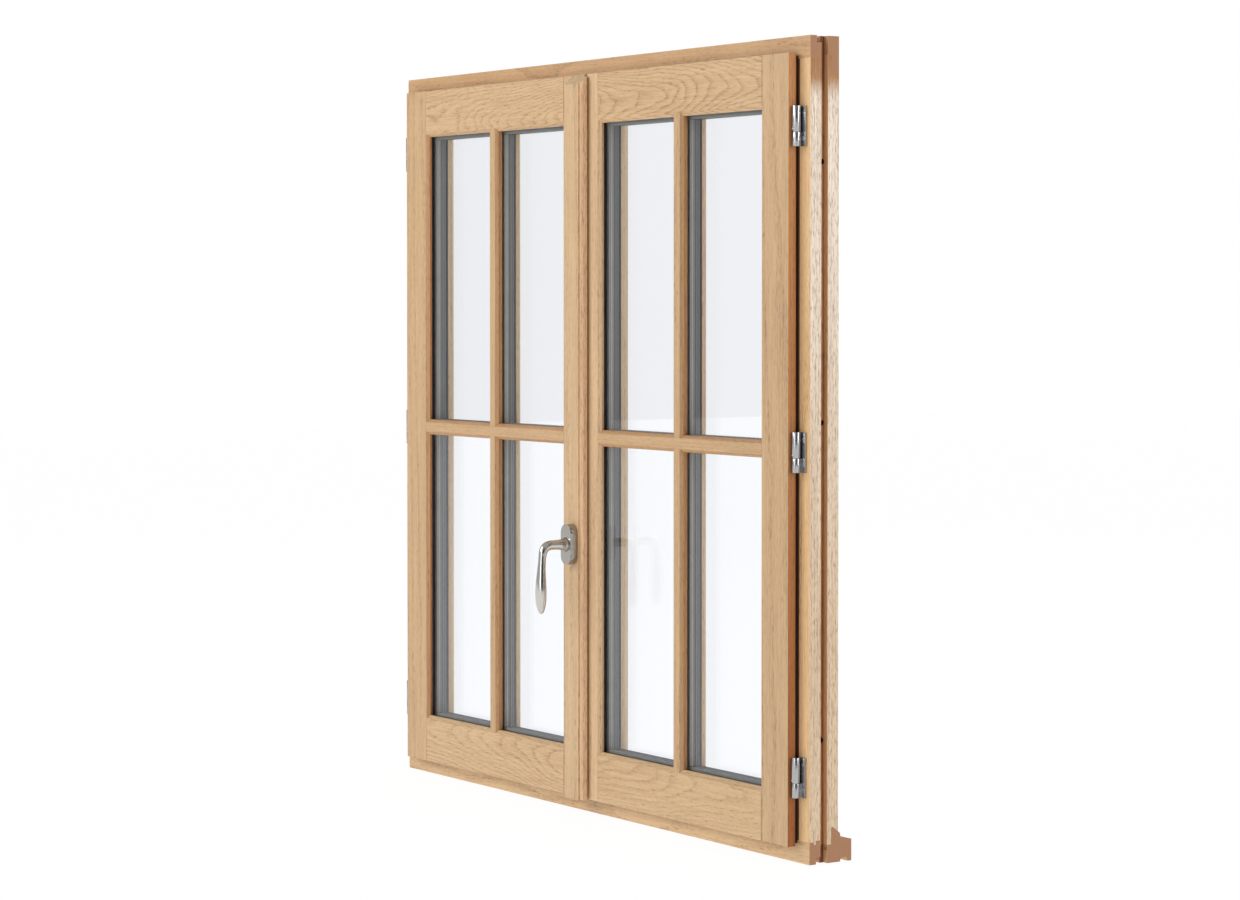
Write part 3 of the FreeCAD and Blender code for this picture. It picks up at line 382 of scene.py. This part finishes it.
def glue_lines(face, over):
    """The boxes at a rail's two ends on the face given, where the stiles reach over it."""
    return [((REBATE_OUT - over - GLUE_LINE, REBATE_OUT + MM), face, ANY_HEIGHT),
            ((REBATE_IN - MM, REBATE_IN + over + GLUE_LINE), face, ANY_HEIGHT)]


ROOM_LINES = glue_lines((LEAF_LOW.y - 5 * SKIN, LEAF_LOW.y + 6 * SKIN), MOULDING)
BACK_LINES = glue_lines((LEAF_HIGH.y - 6 * SKIN, LEAF_HIGH.y + 5 * SKIN), 0)
JOINTS = [(box, GLUE) for box in ROOM_LINES + BACK_LINES]


# ---------------------------------------------------------------- kinds of bar
def even(*tint):
    """The same tint from foot to top."""
    return ((0.0, tint), (1.0, tint))


# Each kind of bar has its pith's distance to the side and behind, its lean, its ring spacing, how far its
# rings wander and how strongly they show, its tone, and its narrow sides' tint at shares of the height.
# Some also have long pores on their narrow sides, as strong as "dash", or places tinted dark: glue lines, and
# painted shade in recesses.
QUIET = {"pith": (0.05, 0.22), "tilt": 0.005, "spacing": 0.0056, "wander": 0.007, "figure": 0.22,
         "tone": (1, 1, 1), "edge": even(1, 1, 1)}
# The hinge stiles' narrow sides: darker and more orange than the faces, most towards the foot.
AMBER = ((0.0, (0.58, 0.28, 0.13)), (0.35, (0.72, 0.43, 0.24)), (1.0, (0.92, 0.62, 0.38)))
# Painted sheen on the jambs' outer sides: pale and bright up to near the top, where the sheen ends in a
# darker amber band.
PAINTED_SHEEN = ((0.0, (0.93, 1.06, 1.36)), (0.30, (0.94, 1.08, 1.42)), (0.70, (1.09, 1.39, 2.15)),
         (0.925, (1.12, 1.45, 2.25)), (0.95, (0.58, 0.43, 0.30)), (1.0, (0.46, 0.28, 0.16)))
# The first word that is found in a node's name gives its kind.
BARS = {
    "head": {**QUIET, "tone": (1.0, 0.92, 0.84), "figure": 0.30, "wander": 0.03, "sealed": [GROOVE]},
    "sill": {**QUIET, "tone": (1.10, 1.11, 1.09), "figure": 0.34, "wander": 0.03, "sealed": [GROOVE]},
    # The jambs' pale tone is partly painted light, lifting their room face where the leaf's lip shades it.
    "jamb": {**QUIET, "tone": (1.32, 1.33, 1.30), "figure": 0.26, "edge": PAINTED_SHEEN, "dash": 0.6,
             "sealed": [GROOVE, CREVICE, *HOLES]},
    "top_rail": {**QUIET, "pith": (0.03, 0.045), "tilt": 0.05, "tone": (1.02, 1.03, 1.03), "wander": 0.040,
                 "figure": 0.52, "spacing": 0.0027, "sealed": JOINTS},
    "bottom_rail": {**QUIET, "pith": (0.03, 0.06), "tilt": 0.05, "tone": (1.04, 1.06, 1.06),
                    "wander": 0.030, "figure": 0.36, "spacing": 0.0030, "sealed": JOINTS},
    "passive_hinge_stile": {**QUIET, "tone": (0.97, 0.97, 0.97), "edge": AMBER},
    "active_hinge_stile": {**QUIET, "tone": (0.98, 0.97, 0.95), "edge": AMBER},
    "passive_meeting": {**QUIET, "tone": (1.16, 1.22, 1.32), "edge": even(0.92, 0.84, 0.76)},
    "meeting_stile": {**QUIET, "edge": even(0.95, 0.88, 0.80)},
    "outer_astragal": {**QUIET, "edge": even(0.9, 0.85, 0.8)},
    "astragal": {**QUIET, "tone": (1.05, 1.09, 1.13), "edge": even(1.45, 1.40, 1.56), "dash": 0.45,
                 "figure": 0.14},
    "outer_muntin": {**QUIET, "tone": (0.98, 1.03, 1.05)},
    "muntin": {**QUIET, "tone": (0.95, 0.93, 0.90), "edge": even(0.86, 0.66, 0.50), "dash": 0.4},
    "beads": {**QUIET, "tone": (1.0, 1.08, 1.14)},
    "weather": {**QUIET, "tone": (0.97, 0.97, 0.97)},
}
LEVEL_WOOD = ("sill", "head", "rail", "muntin_bar", "weather_bar")
FIRST_SEED = 100

# How far each finish's sharp edges are eased, in millimetres.
EASE = {"oak": 0.7, "satin_steel": 0.5, "satin_nickel": 1.4, "zinc_steel": 0.3, "gasket": 0.5,
        "frame_seal": 0.6, "spacer": 0.3, "glass": 0.4}


def bar_look(name):
    return next(look for word, look in BARS.items() if word in name)


def ease_edges(obj, width):
    """Joins the imported mesh's split edges, merges its flat triangles and rounds its sharp edges."""
    weld = obj.modifiers.new("weld", "WELD")
    weld.merge_threshold = 0.01 * MM
    flat = obj.modifiers.new("flat", "DECIMATE")
    flat.decimate_type = "DISSOLVE"
    flat.angle_limit = math.radians(0.5)
    bevel = obj.modifiers.new("ease", "BEVEL")
    bevel.width = width * MM
    bevel.segments = 2
    bevel.limit_method = "ANGLE"
    bevel.angle_limit = math.radians(28)
    bevel.harden_normals = True
    bevel.use_clamp_overlap = True


for number, (name, obj) in enumerate(sorted(nodes.items())):
    kind = SLOT_OF[name]
    if kind == "oak":
        way = "X" if any(word in name for word in LEVEL_WOOD) else "Z"
        dress(obj, oak(name, way, FIRST_SEED + number, bar_look(name)))
    else:
        dress(obj, FINISHES[kind])
    ease_edges(obj, EASE[kind])


# ---------------------------------------------------------------- lever
# The lever's spine, in millimetres: its place out from the frame's room face and down from the spindle,
# and its half-widths across and through. It starts inside the rosette as a collar, narrows to the neck,
# turns down through the bend and swells into the grip, all within the CAD lever's box.
SPINE = (
    (-43.0, 0.0, 11.1, 11.1), (-50.0, 0.0, 11.0, 11.0), (-55.0, 0.0, 9.8, 9.8), (-62.0, 0.0, 8.6, 8.6),
    (-72.0, 0.0, 8.0, 8.0), (-81.0, -0.4, 7.9, 7.9), (-88.3, -3.2, 7.8, 7.7), (-93.0, -9.6, 7.4, 7.0),
    (-94.9, -19.0, 7.1, 6.2), (-96.1, -32.0, 7.5, 6.1), (-97.0, -47.0, 8.9, 6.8), (-97.5, -62.0, 10.5, 7.8),
    (-97.6, -76.0, 11.3, 8.3), (-97.6, -89.0, 10.8, 8.0), (-97.4, -99.0, 9.2, 6.9), (-97.2, -106.0, 6.9, 5.3),
    (-97.1, -110.3, 4.4, 3.4), (-97.0, -112.3, 1.8, 1.4),
)
TIP_DROP = 0.5
STEPS, SIDES = 8, 48


def catmull(a, b, c, d, s):
    """The curve between b and c that also heads for a and d."""
    linear, square, cube = c - a, 2 * a - 5 * b + 4 * c - d, 3 * b - a - 3 * c + d
    return 0.5 * ((2 * b) + linear * s + square * s ** 2 + cube * s ** 3)


def smooth_spine():
    """The spine with STEPS stations between each two of its points."""
    points = [Vector(p) for p in (SPINE[0], *SPINE, SPINE[-1])]
    fine = []
    for four in zip(points, points[1:], points[2:], points[3:]):
        fine += [catmull(*four, step / STEPS) for step in range(STEPS)]
    return fine + [points[-1]]


def lever_loops(mesh, stations, axis_z):
    """One loop of vertices round each station, square to the spine."""
    turns = [2 * math.pi * k / SIDES for k in range(SIDES)]
    loops = []
    for i, (y, z, wide, thick) in enumerate(stations):
        before, after = stations[max(i - 1, 0)], stations[min(i + 1, len(stations) - 1)]
        along = Vector((0, after[0] - before[0], after[1] - before[1])).normalized()
        outward = Vector((0, along.z, -along.y))
        centre = Vector((0, y * MM, axis_z + z * MM))
        loops.append([mesh.verts.new(centre + Vector((wide * MM * math.cos(turn), 0, 0)) +
                                     outward * (thick * MM * math.sin(turn))) for turn in turns])
    return loops


def make_lever():
    """The handle's lever: a flared neck that turns down through a bend into a teardrop grip."""
    spindle_low, spindle_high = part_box("handle_spindle")
    axis_z = (spindle_low.z + spindle_high.z) / 2
    stations = smooth_spine()
    mesh = bmesh.new()
    loops = lever_loops(mesh, stations, axis_z)
    tip_y, tip_z = stations[-1][0], stations[-1][1] - TIP_DROP
    tip = mesh.verts.new(Vector((0, tip_y * MM, axis_z + tip_z * MM)))
    for k in range(SIDES):
        after = (k + 1) % SIDES
        for a, b in zip(loops, loops[1:]):
            mesh.faces.new((a[k], a[after], b[after], b[k]))
        mesh.faces.new((loops[-1][k], loops[-1][after], tip))
    mesh.faces.new(loops[0])
    bmesh.ops.recalc_face_normals(mesh, faces=mesh.faces)
    data = bpy.data.meshes.new("lever_grip")
    mesh.to_mesh(data)
    mesh.free()
    for face in data.polygons:
        face.use_smooth = True
    obj = bpy.data.objects.new("lever_grip", data)
    scene.collection.objects.link(obj)
    dress(obj, FINISHES["polished_nickel"])
    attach(obj, "handle")
    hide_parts("lever")


make_lever()


# ---------------------------------------------------------------- stage, light and camera
FLOOR_REACH, FLOOR_DROP = 14.0, 0.5 * MM
# The unlit end of the studio, as a direction from the object. The light on the object falls off between
# two angles from that direction, which are given by their cosines.
DARK_SIDE = Vector((0.80, -0.60, 0.05)).normalized()
DARK_STARTS, DARK_ENDS = 0.80, 0.96
USUAL_LIGHT, DARK_LIGHT = 0.5, 0.03
# Each soft box's place, width, height, power in watts and colour. They all aim at the window's centre.
LIGHTS = {
    "key": ((-1.8, -3.6, 2.6), 2.4, 2.0, 75, (1.0, 0.985, 0.96)),
    "fill": ((0.7, -5.0, 1.5), 2.0, 2.4, 32, (1, 1, 1)),
    "side": ((4.2, 0.9, 1.9), 1.0, 2.2, 50, (0.97, 0.985, 1.0)),
    "behind": ((0.0, 5.0, 1.7), 3.0, 2.0, 66, (1, 1, 1)),
}
# The camera's turn and dip are in radians, and its lens and sensor in millimetres.
CAMERA_PLACE = Vector((4.3746, -2.8810, 0.8553))
CAMERA_TURN, CAMERA_DIP = 0.97906, 0.02268
CAMERA_LENS, CAMERA_SENSOR, CAMERA_SHIFT = 91.61, 36, -0.0648


def make_floor():
    """A pale floor just below the window, with some light of its own."""
    level = FRAME_LOW.z - FLOOR_DROP
    corners = [(x * FLOOR_REACH, y * FLOOR_REACH, level) for x, y in ((-1, -1), (1, -1), (1, 1), (-1, 1))]
    data = bpy.data.meshes.new("floor")
    data.from_pydata(corners, [], [(0, 1, 2, 3)])
    obj = bpy.data.objects.new("floor", data)
    scene.collection.objects.link(obj)
    t = material_tree("pale_floor")
    shader = t.add("ShaderNodeBsdfPrincipled", {
        "Base Color": (0.05, 0.05, 0.05, 1), "Roughness": 0.85, "Specular IOR Level": 0.1,
        "Emission Color": (1, 1, 1, 1), "Emission Strength": 0.95})
    dress(obj, t.finish(shader.outputs[0]))


def make_world():
    """White behind everything, and a softer light on the object, which is dim towards the dark side."""
    world = bpy.data.worlds.new("studio")
    scene.world = world
    t = Tree(world, "ShaderNodeOutputWorld")
    seen = t.add("ShaderNodeBackground", {"Color": (1, 1, 1, 1), "Strength": 1.0})
    around = t.add("ShaderNodeTexCoord").outputs["Generated"]
    toward = t.add("ShaderNodeVectorMath", {0: around, 1: DARK_SIDE}, operation="DOT_PRODUCT")
    strength = t.add("ShaderNodeMapRange", {
        "Value": toward.outputs["Value"], "From Min": DARK_STARTS, "From Max": DARK_ENDS,
        "To Min": USUAL_LIGHT, "To Max": DARK_LIGHT})
    lit = t.add("ShaderNodeBackground", {"Color": (0.97, 0.985, 1, 1), "Strength": strength.outputs[0]})
    ray = t.add("ShaderNodeLightPath").outputs["Is Camera Ray"]
    both = t.add("ShaderNodeMixShader", {0: ray, 1: lit.outputs[0], 2: seen.outputs[0]})
    t.finish(both.outputs[0])


def area_light(name, aim, place, width, height, power, colour):
    data = bpy.data.lights.new(name, "AREA")
    data.shape = "RECTANGLE"
    data.size, data.size_y = width, height
    data.energy = power
    data.color = colour
    obj = bpy.data.objects.new(name, data)
    obj.location = place
    obj.rotation_euler = (aim - Vector(place)).to_track_quat("-Z", "Y").to_euler()
    scene.collection.objects.link(obj)


def make_camera():
    data = bpy.data.cameras.new("camera")
    data.lens = CAMERA_LENS
    data.sensor_width = CAMERA_SENSOR
    data.shift_y = CAMERA_SHIFT
    obj = bpy.data.objects.new("camera", data)
    obj.location = CAMERA_PLACE
    obj.rotation_euler = (math.pi / 2 - CAMERA_DIP, 0, CAMERA_TURN)
    scene.collection.objects.link(obj)
    scene.camera = obj


make_floor()
make_world()
for name, settings in LIGHTS.items():
    area_light(name, (FRAME_LOW + FRAME_HIGH) / 2, *settings)
make_camera()
scene.view_settings.view_transform = "Standard"
